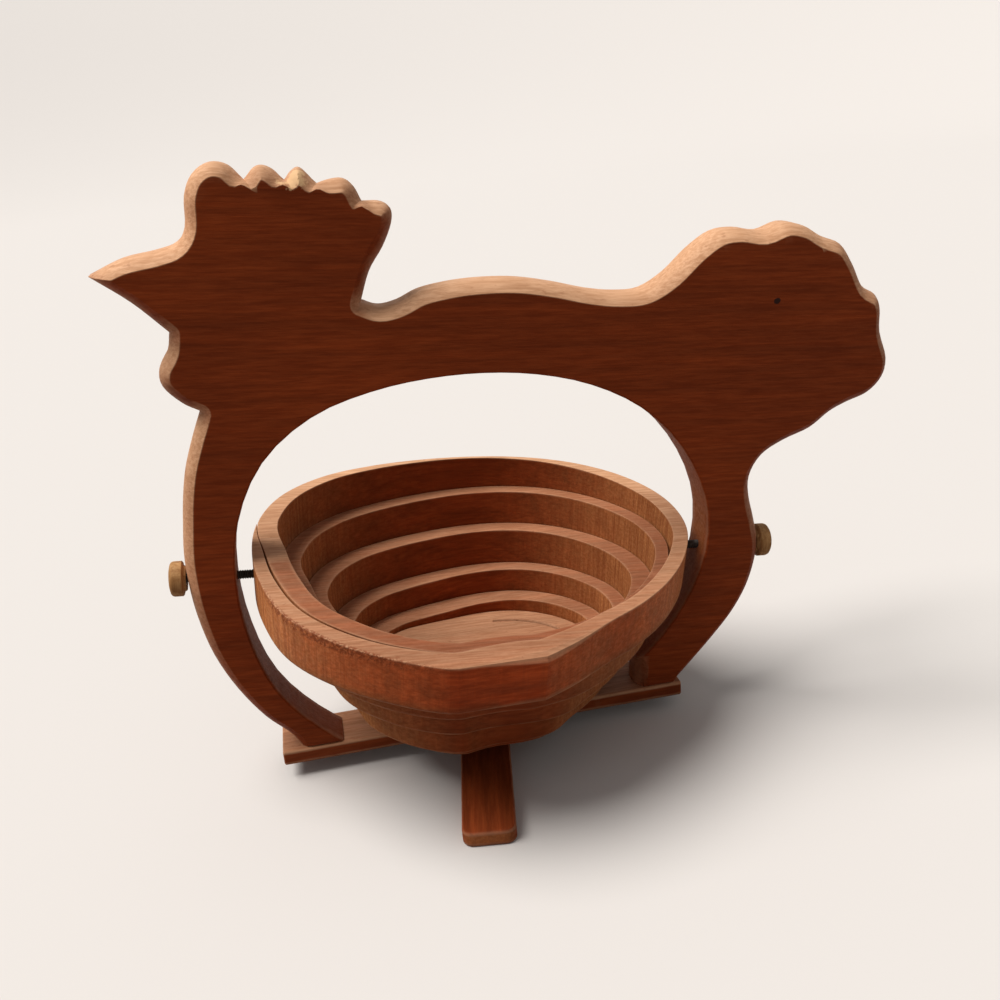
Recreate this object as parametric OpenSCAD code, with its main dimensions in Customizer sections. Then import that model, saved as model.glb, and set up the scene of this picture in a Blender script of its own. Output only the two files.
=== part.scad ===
// Collapsible wooden basket: a hen sawn from one board, and a basket sawn on a spiral from a second board.
// Origin: on the ground under the crossing of the two stand strips. X runs along the cross bar, Y to the back.

/* [Boards] */
// Thickness of both boards
board_t = 19.05; // [16:0.05:22]
// Width of the saw kerf of the spiral
kerf = 1.3; // [0.9:0.1:1.6]
// Gap between the basket's edge and the frame's opening
frame_gap = 6; // [4:0.5:8]
// Size of the hen's outline, 1 being the photographed one
hen_size = 1; // [0.97:0.01:1.06]

/* [Stand] */
// Length of the cross bar under the frame's arms
bar_l = 166.6; // [160:1:190]
// Depth of the cross bar
bar_w = 23.3; // [20:0.5:28]
// Thickness of both stand strips
strip_t = 6.35; // [5:0.05:8]
// Length of the front foot
foot_l = 154; // [130:1:170]
// Width of the front foot
foot_w = 19.8; // [16:0.2:24]
// Angle between the front foot and square to the cross bar, in degrees
foot_turn = 8.7; // [0:0.1:20]
// Corner radius at the ends of the front foot
foot_corner = 4; // [1:0.5:8]

/* [Pivots] */
// Height of the middle of the pivot line over the cross bar
pivot_h = 66.3; // [64:0.1:72]
// Shank diameter of the pivot screws
pin_d = 3.5; // [2.5:0.1:5]
// Diameter of the wooden buttons over the screw heads
button_d = 13.4; // [10:0.2:16]
// Thickness of the buttons
button_t = 6.5; // [5:0.5:9]
// Radial play of the rim on the pivot screws
pin_play = 0.05; // [0.02:0.01:0.1]
// Distance that the screws reach into the basket's edge, left and right
pin_reach = [11, 5.2]; // [3:0.1:12]

/* [Opened basket] */
// Front-down lean of the rim when the basket is open, in degrees
lean = 8.5; // [6:0.1:9]
// Turn of the first coil against the rim, in degrees
open_first = 4.4; // [3:0.1:4.6]
// Turn of the base against the last coil, in degrees
open_last = 4.4; // [3:0.1:4.6]
// Drop of the second coil under the first
drop_2 = 13.8; // [8:0.1:14.4]
// Drop of the third coil under the second
drop_3 = 14.4; // [8:0.1:14.8]
// Height that the drops leave for the coils' tips, half the base and its clearance over the cross bar
base_room = 26.5; // [26.1:0.1:31.1]

/* [Hidden] */
$fn = 48;

// The pivot line falls to the right of the cross bar by this angle.
pin_fall = 5.47;
// Middle of the pivot line over the stand's crossing.
pin_x = 4.2;
pin_y = -2.2;
seat_gap = 0.1;
bar_top = 2 * strip_t + seat_gap;
pin_z = bar_top + pivot_h;
bar_y = pin_y - board_t / 2 + bar_w / 2;
bar_x = 0;
end_gap = 0.4;
// Drop of the fourth coil under the third: what the height of the pivots leaves for it.
drop_4 = pivot_h - drop_2 - drop_3 - base_room;

// Direction in the board of the line that the coils tip about, and its distance from the board's middle.
tip_line = 18;
first_line = 105;
last_line = 80;

// Basket outline: radius every 15 degrees round the middle, with the flat foot edge cut off below.
rim_keys = [85.2, 86.7, 84.8, 80.8, 76.2, 72.6, 71.2, 72.5, 76.7, 83, 87.6, 88.3, 87.3, 86.9, 87.5, 85.9,
    84.5, 84.4, 82, 75.9, 71.8, 73.1, 76.3, 80.6];
flat_reach = 79.6;
flat_dir = 270 + pin_fall;

// Saw line: distance in from the edge every 15 degrees of its first round, starting at the left back.
saw_start = 164.3;
saw_keys = [0, 4.3, 5.8, 6.5, 6.8, 7.4, 9.4, 10.7, 8.4, 5.9, 5.5, 6.2, 6.8, 7.8, 9.1, 9.2, 7.7, 5.6, 4.4,
    4.3, 5.1, 6.1, 7.4, 8.7, 9.93];
saw_end = 5.8;
// The rim's strip laps the left screw twice and ends this part of a round past the saw line's start.
lap = 0.062;
tip_start = 0.014;
step = 1 / 60;

// Smooth curve through key values at even steps.
function key(k, i, closed) = closed ? k[(i + 10 * len(k)) % len(k)] : k[max(0, min(len(k) - 1, i))];
function blend4(a, b, c, d, t) =
    0.5 * (2 * b + (c - a) * t + (2 * a - 5 * b + 4 * c - d) * t * t + (3 * b - a - 3 * c + d) * t * t * t);
function smooth(k, x, closed) = let (i = floor(x), t = x - i)
    blend4(key(k, i - 1, closed), key(k, i, closed), key(k, i + 1, closed), key(k, i + 2, closed), t);
function polar(r, a) = [r * cos(a), r * sin(a)];

function free_edge(a) = smooth(rim_keys, a / 15, true);
function edge(a) = let (c = cos(a - flat_dir)) c > 0.5 ? min(free_edge(a), flat_reach / c) : free_edge(a);
// Pitch of the spiral in each direction: widest at the left, narrowest at the right.
function pitch(a) = 7.33 - 2.4 * cos(a) + 0.65 * sin(a) + 0.475 * cos(2 * a);
function saw_angle(s) = saw_start + 360 * s;
function saw_depth(s) = smooth(saw_keys, (s - floor(s)) * 24, false) + pitch(saw_angle(s)) * floor(s);
function saw_r(s) = edge(saw_angle(s)) - saw_depth(s);
function coil_out(s, in = 0) = polar(s < 1 ? edge(saw_angle(s)) : saw_r(s - 1) - kerf / 2 - in, saw_angle(s));
function coil_in(s) = polar(saw_r(s) + kerf / 2, saw_angle(s));
function steps(a, b) = let (n = ceil((b - a) / step)) [for (i = [0:n]) a + (b - a) * i / n];

// One stretch of the strip between two places on the spiral.
module strip(a, b) {
    s = steps(a, b);
    n = len(s) - 1;
    linear_extrude(board_t, center = true)
        polygon(concat([for (i = [0:n]) coil_out(s[i])], [for (i = [n:-1:0]) coil_in(s[i])]));
}

// Closed curve through hand-chosen points, with each corner point given twice.
function spline(p, n) = [for (i = [0:len(p) - 2]) for (j = [0:n - 1])
    (p[i] == p[i + 1]) ? p[i] : blend4(
        (i > 0 && p[i - 1] != p[i]) ? p[i - 1] : 2 * p[i] - p[i + 1], p[i], p[i + 1],
        (i < len(p) - 2 && p[i + 2] != p[i + 1]) ? p[i + 2] : 2 * p[i + 1] - p[i], j / n)];

// The hen from the end of the left arm over breast, beak, comb, back and tail to the end of the right arm.
hen_points = [[-71, -80], [-76.3, -69.9], [-86.8, -59.9], [-96.7, -46.3], [-104.3, -31], [-108.9, -15.1],
    [-111.1, -1.1], [-111.8, 11.6], [-111.1, 23.5], [-110.1, 34.4], [-108.3, 45.2], [-105.2, 55.6],
    [-101.5, 66], [-101.5, 66], [-107.5, 69.3], [-113.5, 75.5], [-113.9, 82], [-110.5, 88.5], [-109.5, 94.5],
    [-109.5, 94.5], [-121, 105], [-134, 114], [-134, 114], [-122.9, 119.3], [-111.5, 121.9], [-104.6, 124.5],
    [-101.2, 130], [-100.6, 140], [-97.6, 147], [-92, 150.6], [-85.8, 149.6], [-80.8, 144], [-80.8, 144],
    [-78, 148.3], [-74.8, 149.6], [-71, 148], [-67.5, 143.8], [-67.5, 143.8], [-65.3, 147.3], [-62.6, 148.9],
    [-59.8, 146.8], [-56.7, 142.8], [-56.7, 142.8], [-52.6, 144.7], [-47.8, 145.2], [-44.2, 142.6],
    [-41.8, 136.9], [-41.8, 136.9], [-36, 137.6], [-32, 135.6], [-31.8, 130.5], [-35, 122.5], [-40, 114],
    [-43.2, 103.5], [-43.2, 103.5], [-37, 101.5], [-30, 103], [-22, 106.9], [-10, 109.4], [2, 110.4],
    [14, 110.2], [27, 108.3], [40, 105.6], [51, 104.5], [61, 105.4], [70.5, 111], [79.5, 119.6], [88.5, 125.7],
    [97.5, 127], [107, 126], [116, 129], [124.5, 127.8], [132, 124], [140.5, 121], [146.5, 113.8],
    [151.8, 105.2], [158, 101.7], [160.8, 96.5], [162, 87.5], [166.3, 77], [165.3, 69], [159.5, 62.5],
    [150.5, 58.8], [143.5, 55.2], [135.5, 49], [124, 44.3], [114.8, 38.7], [110, 30.4], [110.2, 21.5],
    [112.8, 12.5], [115.2, 3], [115, -6.7], [112.4, -18], [107.1, -29.3], [99, -40.9], [88.6, -54], [77, -68]];

module in_pivot_frame() {
    translate([pin_x, pin_y, pin_z]) rotate([0, pin_fall, 0]) children();
}

module frame_board() {
    color("sienna") difference() {
        in_pivot_frame() rotate([90, 0, 0]) linear_extrude(board_t, center = true) hen_arms();
        translate([-200, -100, -100]) cube([400, 200, 100 + bar_top + seat_gap]);
        pivot_holes(pin_d / 2 + 0.02);
    }
}

// The hen with its opening; the cut along the cross bar follows in frame_board.
module hen_arms() {
    difference() {
        polygon(concat([for (p = spline(hen_points, 4)) p * hen_size], [hen_size * [77, -68]]));
        polygon([for (a = [0:5:355]) polar(free_edge(a) + frame_gap, a)]);
        translate([-56.3, -100]) square([56.3, 60]);
        translate([0, -100]) square([66, 60]);
    }
}

module pivot_holes(r) {
    in_pivot_frame() rotate([0, 90, 0]) cylinder(h = 300, r = r, center = true);
}

// Where each ring lies when the basket is open.
module open_rim() {
    in_pivot_frame() rotate([lean, 0, 0]) children();
}
module tip(angle, line) {
    rotate([0, 0, tip_line]) translate([0, -line, 0]) rotate([-angle, 0, 0]) translate([0, line, 0])
        rotate([0, 0, -tip_line]) children();
}
module open_turn(drop) {
    open_rim() tip(open_first, first_line) translate([0, 0, -drop]) children();
}

module basket_rim() {
    color("peru") open_rim() difference() {
        strip(tip_start, 1 + lap);
        translate([-edge(180) + pin_reach[0] + 0.4, 0, 0]) rotate([0, -90, 0])
            cylinder(h = 40, r = pin_d / 2 + pin_play);
        translate([edge(0) - pin_reach[1] - 0.4, 0, 0]) rotate([0, 90, 0])
            cylinder(h = 40, r = pin_d / 2 + pin_play);
    }
}

end_turn = end_gap / 480;
module spiral_turn_1() {
    color("peru") open_turn(0) strip(1 + lap + end_turn, 2 + lap);
}
module spiral_turn_2() {
    color("peru") open_turn(drop_2) strip(2 + lap + 1.2 * end_turn, 3 + lap);
}
module spiral_turn_3() {
    color("peru") open_turn(drop_2 + drop_3) strip(3 + lap + 1.5 * end_turn, 4 + lap);
}
module spiral_turn_4() {
    color("peru") open_turn(drop_2 + drop_3 + drop_4) strip(4 + lap + 1.8 * end_turn, 5 + lap);
}

// The base is the last stretch of strip and the disc that it grows out of, parted by the end of the kerf.
module base_disc() {
    first = 5 + lap + 18 * end_turn;
    s = steps(first, 6 + lap);
    slot = steps(5 + lap - 0.01, saw_end);
    n = len(slot) - 1;
    color("burlywood") open_turn(drop_2 + drop_3 + drop_4) tip(open_last, last_line)
        linear_extrude(board_t, center = true) difference() {
            polygon([for (x = s) coil_out(x)]);
            polygon(concat([for (i = [0:n]) coil_in(slot[i])],
                [for (i = [n:-1:0]) polar(saw_r(slot[i]) - kerf / 2, saw_angle(slot[i]))]));
        }
}

// Screw from inside the button through the arm into the basket's edge; side is -1 at the left, 1 at the right.
left_edge = 111.75 * hen_size;
right_edge = 115.25 * hen_size;
module pivot_screw(side, inner, outer) {
    color("dimgray") in_pivot_frame() translate([side * inner, 0, 0]) rotate([0, side * 90, 0]) {
        cylinder(h = outer - inner, r = pin_d / 2);
        translate([0, 0, outer - inner - 1.5]) cylinder(h = 1.5, r = pin_d * 0.9);
    }
}
module pivot_screw_left() {
    pivot_screw(-1, edge(180) - pin_reach[0], left_edge + button_t - 1.5);
}
module pivot_screw_right() {
    pivot_screw(1, edge(0) - pin_reach[1], right_edge + button_t - 1.5);
}

// Turned button with a crowned face, bored for the screw's head.
module button(side, seat) {
    color("tan") in_pivot_frame() translate([side * (seat + 0.2), 0, 0]) rotate([0, side * 90, 0])
        difference() {
            rotate_extrude() polygon([[0, 0], [button_d / 2 - 1, 0], [button_d / 2, 1], [button_d / 2, button_t - 2],
                [button_d / 2 - 0.8, button_t - 0.9], [button_d / 2 - 2.4, button_t - 0.25], [0, button_t]]);
            translate([0, 0, -1]) cylinder(h = button_t, r = pin_d / 2 + 0.02);
            translate([0, 0, button_t - 3.3]) cylinder(h = 1.9, r = pin_d * 0.9 + 0.05);
        }
}
module button_left() {
    button(-1, left_edge);
}
module button_right() {
    button(1, right_edge);
}

// Flat strip that carries the frame's arms, countersunk in its middle for the pivot screw of the foot.
screw_r = 2;
head_r = 3.6;
module crossbar() {
    color("sienna") difference() {
        translate([bar_x - bar_l / 2, bar_y - bar_w / 2, strip_t + seat_gap]) cube([bar_l, bar_w, strip_t]);
        translate([0, 0, strip_t - 1]) cylinder(h = strip_t + 2, r = screw_r + 0.02);
        translate([0, 0, bar_top - 2]) cylinder(h = 3, r = head_r + 0.02);
    }
}

// Loose strip under the cross bar that swings out to the front and back.
module front_foot() {
    r = foot_corner;
    color("saddlebrown") rotate([0, 0, -foot_turn]) difference() {
        union() {
            translate([-foot_w / 2, -foot_l / 2 + r, 0]) cube([foot_w, foot_l - 2 * r, strip_t]);
            translate([-foot_w / 2 + r, -foot_l / 2, 0]) cube([foot_w - 2 * r, foot_l, strip_t]);
            for (x = [-1, 1]) for (y = [-1, 1])
                translate([x * (foot_w / 2 - r), y * (foot_l / 2 - r), 0]) cylinder(h = strip_t, r = r);
        }
        translate([0, 0, 1.6]) cylinder(h = strip_t, r = screw_r + pin_play);
    }
}

module foot_screw() {
    color("dimgray") {
        translate([0, 0, 2]) cylinder(h = bar_top - 2.4, r = screw_r);
        translate([0, 0, bar_top - 1.9]) cylinder(h = 1.5, r = head_r);
    }
}

frame_board();
basket_rim();
spiral_turn_1();
spiral_turn_2();
spiral_turn_3();
spiral_turn_4();
base_disc();
pivot_screw_left();
pivot_screw_right();
button_left();
button_right();
crossbar();
front_foot();
foot_screw();
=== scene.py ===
"""Collapsible wooden basket: a hen-shaped board round a basket sawn on a spiral, on a cross of two strips.

Everything is in metres in the row frame: origin on the ground under the stand's crossing, X along the
cross bar.
"""

import math

import bpy
import numpy as np
from mathutils import Matrix, Vector
from mathutils.geometry import delaunay_2d_cdt


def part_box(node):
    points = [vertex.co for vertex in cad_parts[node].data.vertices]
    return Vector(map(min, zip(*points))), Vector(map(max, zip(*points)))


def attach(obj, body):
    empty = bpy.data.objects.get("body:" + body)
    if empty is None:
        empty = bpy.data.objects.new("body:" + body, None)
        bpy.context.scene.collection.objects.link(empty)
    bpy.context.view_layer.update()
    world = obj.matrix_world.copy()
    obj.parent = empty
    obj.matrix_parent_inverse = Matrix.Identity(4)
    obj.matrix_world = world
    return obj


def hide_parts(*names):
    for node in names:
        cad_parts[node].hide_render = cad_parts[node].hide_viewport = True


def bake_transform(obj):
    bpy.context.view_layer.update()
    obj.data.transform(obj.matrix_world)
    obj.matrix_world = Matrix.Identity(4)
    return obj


bl_info = {
    "name": "Collapsible Wooden Basket",
    "version": (1, 0, 0),
    "blender": (4, 5, 0),
    "location": "3D View > Sidebar > Basket",
    "description": "Dresses a collapsible basket of sawn wood with grain, worn edges and saw marks",
    "category": "Object",
}

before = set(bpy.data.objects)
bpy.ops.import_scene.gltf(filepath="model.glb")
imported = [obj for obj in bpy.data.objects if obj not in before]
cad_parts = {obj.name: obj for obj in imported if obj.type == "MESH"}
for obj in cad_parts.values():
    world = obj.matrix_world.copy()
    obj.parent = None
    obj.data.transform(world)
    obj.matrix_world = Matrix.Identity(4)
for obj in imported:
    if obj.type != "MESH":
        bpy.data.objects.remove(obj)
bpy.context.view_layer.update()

MM = 0.001
BOARD_T = 19.05 * MM
HALF_T = BOARD_T / 2
PIN_D = 3.5 * MM
STRIP_T = 6.35 * MM

# Pivot line: its middle over the stand's crossing, and how far it falls towards the tail.
PIVOT = Vector((4.2, -2.2, 79.1)) * MM
PIVOT_FALL = math.radians(5.47)

# How the basket hangs open: the rim's lean, the tips of the first coil and the base, and the drops between.
LEAN = math.radians(8.5)
TIP_ANGLE = math.radians(4.4)
TIP_LINE = math.radians(18)
FIRST_LINE = 105 * MM
LAST_LINE = 80 * MM
DROPS = [13.8 * MM, 14.4 * MM, 11.6 * MM]

# Basket outline: radius every 15 degrees, with a flat foot edge.
RIM_KEYS = np.array([85.2, 86.7, 84.8, 80.8, 76.2, 72.6, 71.2, 72.5, 76.7, 83, 87.6, 88.3,
                     87.3, 86.9, 87.5, 85.9, 84.5, 84.4, 82, 75.9, 71.8, 73.1, 76.3, 80.6]) * MM
FLAT_REACH = 79.1 * MM
FLAT_DIR = math.radians(270 + 5.47)

# Saw line: depth in from the edge every 15 degrees of its first round, from the left back.
SAW_KEYS = np.array([0, 4.3, 5.8, 6.5, 6.8, 7.4, 9.4, 10.7, 8.4, 5.9, 5.5, 6.2, 6.8,
                     7.8, 9.1, 9.2, 7.7, 5.6, 4.4, 4.3, 5.1, 6.1, 7.4, 8.7, 9.93]) * MM
SAW_START = math.radians(164.3)
SAW_END = 5.73
TIP_START = 0.005
COIL_START = 1.062
COIL_END = 5.5
TURN = 2 * math.pi

# The hand-sawn line wanders: how far each round lies to the left, to the front and out of its place.
WANDER_LEFT = np.array([0, -0.2, 2.5, 4.0, 4.9, 6.6, 8.1]) * MM
WANDER_FRONT = np.array([0, -0.9, -2.1, -2.4, -2.1, 0.6, 2.7]) * MM
WANDER_OUT = np.array([0, 2.0, 0.8, -0.4, -0.8, -1.6, -2.1]) * MM
WANDER_START = 0.4
NOSE_DIR = math.radians(282)

# Width of the saw gap along its first round, pressed shut at the front, and further in.
GAP_AT = [0, 0.03, 0.07, 0.22, 0.28, 0.34, 0.49, 0.53, 0.57, 0.7, 0.82, 1.05, 1.2, 5.4, 5.5]
GAP_WIDTH = np.array([0.1, 0.3, 0.9, 0.8, 0.4, 0.15, 0.15, 0.9, 0.6, 0.4, 0.15, 0.15, 0.4, 0.4, 1.3]) * MM

# How far down the strip hangs, counted in rings below the rim, against rounds of the saw line.
HANG_AT = [1.0, 1.125, 1.25, 1.375, 1.5, 1.75, 2.0, 2.25, 2.5, 2.75, 3.0,
           3.25, 3.5, 3.75, 4.0, 4.25, 4.5, 4.75, 5.0, 5.25, 5.5]
HANG = [0, 0, 0, 1.25, 1.13, 1.08, 1.41, 1.79, 2.1, 2.2, 2.5,
        2.67, 3.03, 3.42, 3.82, 3.83, 3.91, 4.46, 4.85, 4.92, 5]
HANG_BLUR = (-0.08, -0.04, 0, 0.04, 0.08)

# Edges of the strip: a fine arris, and the corner rubbed off the front facet.
ARRIS = 0.3 * MM
CHAMFER = 2.4 * MM
CHAMFER_AT = 0.315

# Rounds wider than this are sanded edges, paler than the faces. Two that meet at a pointed corner keep this
# distance from the ridge between them.
WIDE_ROUND = 2 * MM
RIDGE_GAP = 0.12 * MM

# Edges get a painted highlight where they face this way, in board coordinates, and less towards the feet.
LIT_FROM = np.array([-0.3, 0.9])
LIT_HEIGHT = 60 * MM

# Notches of the comb run down towards the back: their places, and how far their front ends are filled.
NOTCHES = np.array([[-81.4, 136.1], [-68.0, 136.0], [-56.6, 134.2], [-42.2, 128.6]]) * MM
NOTCH_FILL = 5.0 * MM
NOTCH_SPREAD = np.array([3.4, 8.5]) * MM

# The tail is drawn in a little towards its tip: share of the way past the start, from a height up.
TAIL_START = 60 * MM
TAIL_SHARE = 0.038
TAIL_FROM = 20 * MM
TAIL_FULL = 50 * MM

# Chipped peak of the hen's comb and small knot in its tail: place on the board, and radius.
CHIP_AT = Vector((-64.4, 148.5, 9.5)) * MM
CHIP_RADIUS = 6.2 * MM
KNOT_AT = Vector((111.6, 101.0, 9.5)) * MM
KNOT_RADIUS = 1.3 * MM

# Camera of the photograph, in the pivot line's own frame.
CAMERA_AT = Vector((-69.15, -394.86, 173.68)) * MM
CAMERA_YAW = math.radians(11.11)
CAMERA_PITCH = math.radians(20.38)
CAMERA_ROLL = math.radians(-0.58)
FOCAL_PX = 1100.07
PHOTO_PX = 1000
SENSOR_MM = 36


def translation(x, y, z):
    return Matrix.Translation((x, y, z))


def pivot_frame():
    """From the pivot line's frame to the row frame."""
    return Matrix.Translation(PIVOT) @ Matrix.Rotation(PIVOT_FALL, 4, "Y")


def tipped(line):
    """A ring tipped back-down about a line in front of it, in board coordinates."""
    turn = Matrix.Rotation(TIP_LINE, 4, "Z")
    swing = translation(0, -line, 0) @ Matrix.Rotation(-TIP_ANGLE, 4, "X") @ translation(0, line, 0)
    return turn @ swing @ turn.inverted()


def ring_places():
    """Rest matrices of the rim, the four coils and the base, from board coordinates to the row frame."""
    rim = pivot_frame() @ Matrix.Rotation(LEAN, 4, "X")
    coil = rim @ tipped(FIRST_LINE)
    places = [rim, coil]
    drop = 0
    for step in DROPS:
        drop += step
        places.append(coil @ translation(0, 0, -drop))
    places.append(places[-1] @ tipped(LAST_LINE))
    return [np.array(m) for m in places]


PLACES = ring_places()


def smooth(keys, x, closed):
    """Catmull-Rom curve through key values at whole steps of x."""
    i = np.floor(x).astype(int)
    t = x - i
    pick = (lambda j: keys[j % len(keys)]) if closed else (lambda j: keys[np.clip(j, 0, len(keys) - 1)])
    a, b, c, d = pick(i - 1), pick(i), pick(i + 1), pick(i + 2)
    square = (2 * a - 5 * b + 4 * c - d) * t ** 2
    cube = (3 * b - a - 3 * c + d) * t ** 3
    return 0.5 * (2 * b + (c - a) * t + square + cube)


def rim_edge(angle):
    """Radius of the basket's outline: the free curve, cut off by the flat edge."""
    free = smooth(RIM_KEYS, angle % TURN / math.radians(15), True)
    c = np.cos(angle - FLAT_DIR)
    return np.where(c > 0.5, np.minimum(free, FLAT_REACH / np.maximum(c, 0.5)), free)


def eased_edge(angle):
    """The outline averaged over a sixth of a turn, which the inner rounds of the saw follow past the nose."""
    return np.mean([rim_edge(angle + math.radians(d)) for d in range(-36, 37, 6)], axis=0)


def bell(x, middle, spread):
    return np.exp(-((x - middle) / spread) ** 2)


def saw_angle(s):
    return SAW_START + TURN * s


def saw_radius(s):
    """Radius of the saw line s rounds past its start: the edge less the first depth and whole pitches."""
    whole = np.floor(s)
    a = saw_angle(s)
    pitch = (7.33 - 2.4 * np.cos(a) + 0.65 * np.sin(a) + 0.475 * np.cos(2 * a)) * MM
    left, front, out = (smooth(keys, s, False) for keys in (WANDER_LEFT, WANDER_FRONT, WANDER_OUT))
    wander = out - left * np.cos(a) - front * np.sin(a)
    fade = np.clip((s - WANDER_START) / 0.2, 0, 1)
    eased = bell(np.cos(a - NOSE_DIR), 1, 0.1) * np.clip((s - WANDER_START) / 1.6, 0, 1)
    edge = (1 - eased) * rim_edge(a) + eased * eased_edge(a)
    return edge - smooth(SAW_KEYS, (s - whole) * 24, False) - pitch * whole + wander * fade


def saw_gap(s):
    return np.interp(s, GAP_AT, GAP_WIDTH)


def outer_radius(s):
    before = np.maximum(s - 1, 0)
    return np.where(s < 1, rim_edge(saw_angle(s)), saw_radius(before) - saw_gap(before) / 2)


def inner_radius(s):
    return saw_radius(s) + saw_gap(s) / 2


def around(radius, s):
    """Points at the given radii, at the places s of the spiral."""
    return np.stack([radius * np.cos(saw_angle(s)), radius * np.sin(saw_angle(s))], 1)


def hang(s):
    """Rings below the rim at each place along the strip: a keyed line with its corners blurred."""
    return np.clip(np.mean([np.interp(s + d, HANG_AT, HANG) for d in HANG_BLUR], axis=0), 0, 5)


def new_mesh(name, points, faces, attributes):
    """A smooth-shaded mesh object at the origin, with float or vector point attributes."""
    mesh = bpy.data.meshes.new(name)
    mesh.from_pydata(points.tolist(), [], faces)
    mesh.update()
    for key, values in attributes.items():
        kind, field = ("FLOAT_VECTOR", "vector") if values.ndim == 2 else ("FLOAT", "value")
        layer = mesh.attributes.new(key, kind, "POINT")
        layer.data.foreach_set(field, values.astype(np.float32).ravel())
    piece = bpy.data.objects.new(name, mesh)
    bpy.context.scene.collection.objects.link(piece)
    return piece


def soften(piece, degrees=40):
    """Smooth shading that keeps edges sharper than the angle."""
    bpy.context.view_layer.objects.active = piece
    piece.select_set(True)
    bpy.ops.object.shade_smooth()
    piece.data.set_sharp_from_angle(angle=math.radians(degrees))
    piece.select_set(False)


def placed(flat, matrix):
    return flat @ matrix[:3, :3].T + matrix[:3, 3]


def strip_section(width, worn_corner):
    """Closed section of the strip: depth in from the outer edge, height, wear, and 1 on the top face.

    The corners are cut by a small arris, and the outer top corner by worn_corner, its width along the strip.
    """
    h = HALF_T
    fine = np.minimum(ARRIS, 0.3 * width)
    worn = np.minimum(worn_corner, 0.45 * width)
    rows = []
    for share in (-0.93, -0.6, -0.2, 0.2, 0.5, 0.7, 0.82, 0.9):
        rows.append((0 * width, share * (h - worn), 0, 0))
    rows.append((0 * width, h - worn, 0.8, 0.3))
    rows.append((0.3 * worn, h - 0.3 * worn, 1, 0.8))
    rows.append((worn, h + 0 * worn, 0.6, 1))
    for share in (0.25, 0.5, 0.75):
        rows.append((worn + (width - worn - fine) * share, h + 0 * width, 0, 1))
    rows.append((width - fine, h + 0 * width, 0.6, 1))
    rows.append((width - 0.3 * fine, h - 0.3 * fine, 1, 0.8))
    rows.append((width, h - fine, 0.8, 0))
    for share in (0.9, 0.75, 0.4, 0, -0.4, -0.8):
        rows.append((width, share * (h - fine), 0, 0))
    rows.append((width, fine - h, 0.8, 0))
    rows.append((width - fine, -h + 0 * width, 0.8, 0))
    rows.append((width / 2, -h + 0 * width, 0, 0))
    rows.append((fine, -h + 0 * width, 0.8, 0))
    depth = np.stack([r[0] for r in rows], 1)
    height = np.stack([r[1] + 0 * width for r in rows], 1)
    return depth, height, np.array([r[2] for r in rows], float), np.array([r[3] for r in rows], float)


def sweep_strip(name, start, end, ring):
    """The strip from start to end of the spiral, with its section carried round.

    A point at depth d below the strip's outer edge stands at the radius outer_radius(s) - d and the angle
    saw_angle(s). Its place is the mix of its places on two rings, by the share hang(s) - ring.
    """
    count = max(8, int((end - start) * 170))
    s = np.linspace(start, end, count)
    outer = outer_radius(s)
    width = np.maximum(outer - inner_radius(s), 0.25 * MM)
    worn_corner = ARRIS + CHAMFER * bell(s, CHAMFER_AT, 0.035)
    depth, height, wear, top = strip_section(width, worn_corner)
    radius = outer[:, None] - depth
    a = saw_angle(s)[:, None]
    flat = np.stack([radius * np.cos(a), radius * np.sin(a), height], -1)
    share = np.clip(hang(s) - ring, 0, 1)
    blend = share[:, None, None]
    points = (1 - blend) * placed(flat, PLACES[ring]) + blend * placed(flat, PLACES[ring + 1])
    rows = depth.shape[1]
    tangent = np.gradient(flat[:, 0, :2], axis=0)
    tangent /= np.linalg.norm(tangent, axis=1, keepdims=True)
    end_grain = np.repeat(tangent[:, 1:2] ** 2, rows, 1) * (1 - top)
    under_edge = np.clip((height / HALF_T - 0.5) / 0.25, 0, 1) * (depth < 0.5 * MM)
    chips = under_edge * (bell(s, 0.16, 0.09) * (s < 1))[:, None]
    # Painted light on the top faces: paler towards the back, and more on the rim than on the coils, whose
    # ledges lie in shade.
    painted_top_light = (0.72 + 0.28 * np.sin(a)) * np.where(s < COIL_START, 1.1, 0.5)[:, None]
    bleach = (depth < 0.5 * MM) * (top < 0.5) * (s < 0.62)[:, None] * (height > 0.2 * HALF_T - HALF_T)
    index = np.arange(count * rows).reshape(count, rows)
    here, along = index[:-1], index[1:]
    quads = np.stack([here, along, np.roll(along, -1, 1), np.roll(here, -1, 1)], -1).reshape(-1, 4)
    faces = quads[:, ::-1].tolist() + [index[0].tolist(), index[-1][::-1].tolist()]
    piece = new_mesh(name, points.reshape(-1, 3), faces, {
        "board": flat.reshape(-1, 3),
        "wear": np.tile(wear, count),
        "top": (top * painted_top_light).ravel(),
        "bleach": bleach.ravel(),
        "end_grain": end_grain.ravel(),
        "chips": chips.ravel(),
    })
    face_outwards(piece)
    soften(piece, 9)
    return piece, np.repeat(share, rows)


def face_outwards(piece):
    bpy.context.view_layer.objects.active = piece
    piece.select_set(True)
    bpy.ops.object.mode_set(mode="EDIT")
    bpy.ops.mesh.select_all(action="SELECT")
    bpy.ops.mesh.normals_make_consistent(inside=False)
    bpy.ops.object.mode_set(mode="OBJECT")
    piece.select_set(False)


def segment_distance(points, loop, keep):
    """Least distance from each point to the kept segments of a closed loop."""
    a = loop
    b = np.roll(loop, -1, 0)
    a, b = a[keep], b[keep]
    best = np.full(len(points), 1.0)
    for i in range(0, len(points), 2000):
        p = points[i:i + 2000, None]
        ab = (b - a)[None]
        t = np.clip(((p - a[None]) * ab).sum(-1) / np.maximum((ab ** 2).sum(-1), 1e-14), 0, 1)
        best[i:i + 2000] = np.sqrt((((a[None] + ab * t[..., None]) - p) ** 2).sum(-1)).min(1)
    return best


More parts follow.
